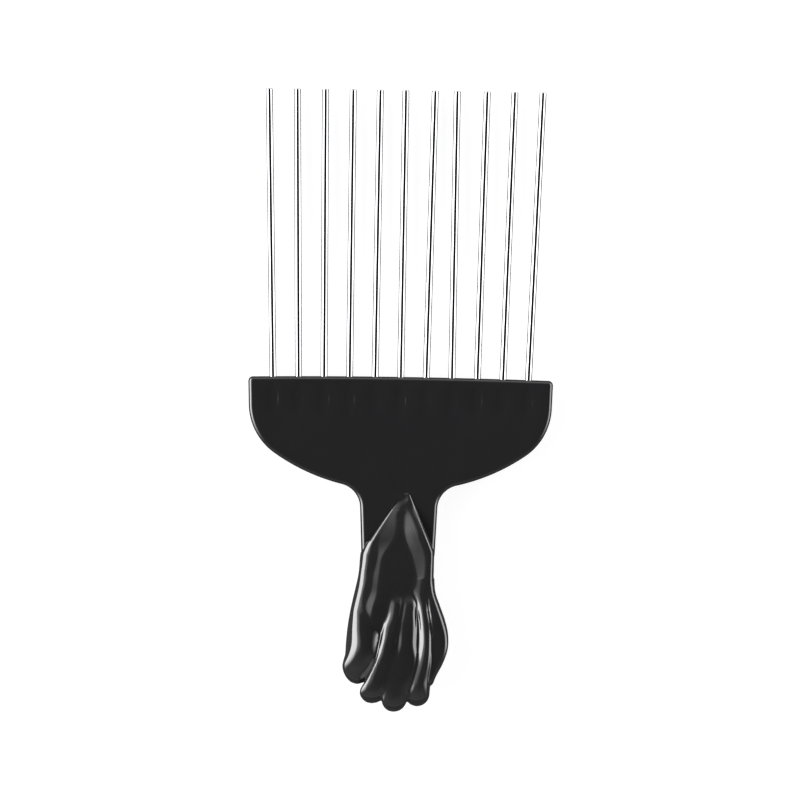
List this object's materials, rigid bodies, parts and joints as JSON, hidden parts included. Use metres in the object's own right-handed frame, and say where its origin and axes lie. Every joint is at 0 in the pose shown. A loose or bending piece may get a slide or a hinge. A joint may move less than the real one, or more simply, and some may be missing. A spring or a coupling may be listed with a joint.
{
  "type": "afro pick",
  "caption": "Hair pick: a flat half-moon head with a row of long straight wire tines on a grip sculpted as a relaxed hand.",
  "frame": {"origin": "the head's flat back face, on the centre line, 15 mm below the middle of the tine edge", "axes": "+Y along the pick towards the tine tips, +X across the head to the little finger's side, +Z out of the front face, on which the palm side of the hand shows"},
  "size_m": [0.0854, 0.1746, 0.0126],
  "materials": {
    "handle": "gloss black moulded plastic",
    "tines": "bright plated steel wire"
  },
  "bodies": {
    "root": {"handle": "handle", "tine_01": "tines", "tine_02": "tines", "tine_03": "tines", "tine_04": "tines", "tine_05": "tines", "tine_06": "tines", "tine_07": "tines", "tine_08": "tines", "tine_09": "tines", "tine_10": "tines", "tine_11": "tines"}
  },
  "joints": []
}
